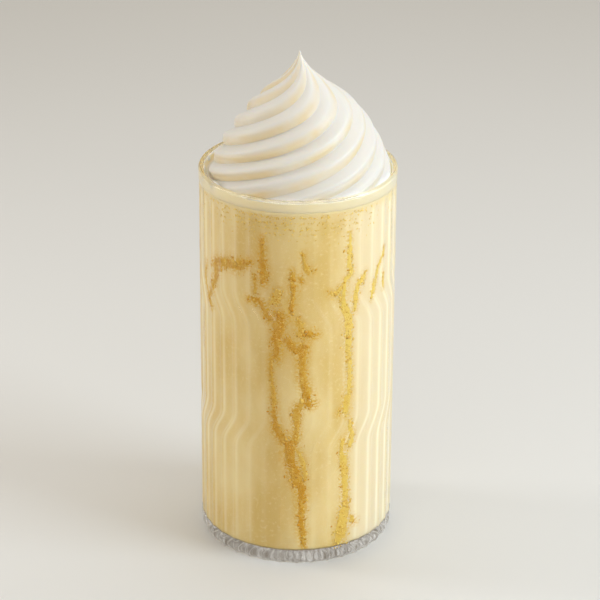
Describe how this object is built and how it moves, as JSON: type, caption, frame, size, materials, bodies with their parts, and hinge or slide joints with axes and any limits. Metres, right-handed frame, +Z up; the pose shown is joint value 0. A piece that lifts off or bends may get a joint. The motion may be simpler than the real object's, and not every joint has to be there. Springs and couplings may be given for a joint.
{
  "type": "pineapple milkshake",
  "caption": "Pale yellow milkshake in a tall clear fluted tumbler, streaked inside with golden fruit puree and topped with a tall piped swirl of whipped cream.",
  "frame": {"origin": "centre of the tumbler's base, on the surface it stands on", "axes": "+Z up along the tumbler's axis, -Y towards the front that the picture shows, +X to its right"},
  "size_m": [0.0724, 0.0724, 0.1904],
  "materials": {
    "clear_glass": "clear, fire-polished",
    "milkshake": "smooth and opaque, pale pineapple yellow",
    "whipped_cream": "soft satin white",
    "pineapple_puree": "wet golden fruit pulp"
  },
  "bodies": {
    "root": {"glass": "clear_glass", "milkshake": "milkshake", "whipped_cream": "whipped_cream"}
  },
  "joints": []
}
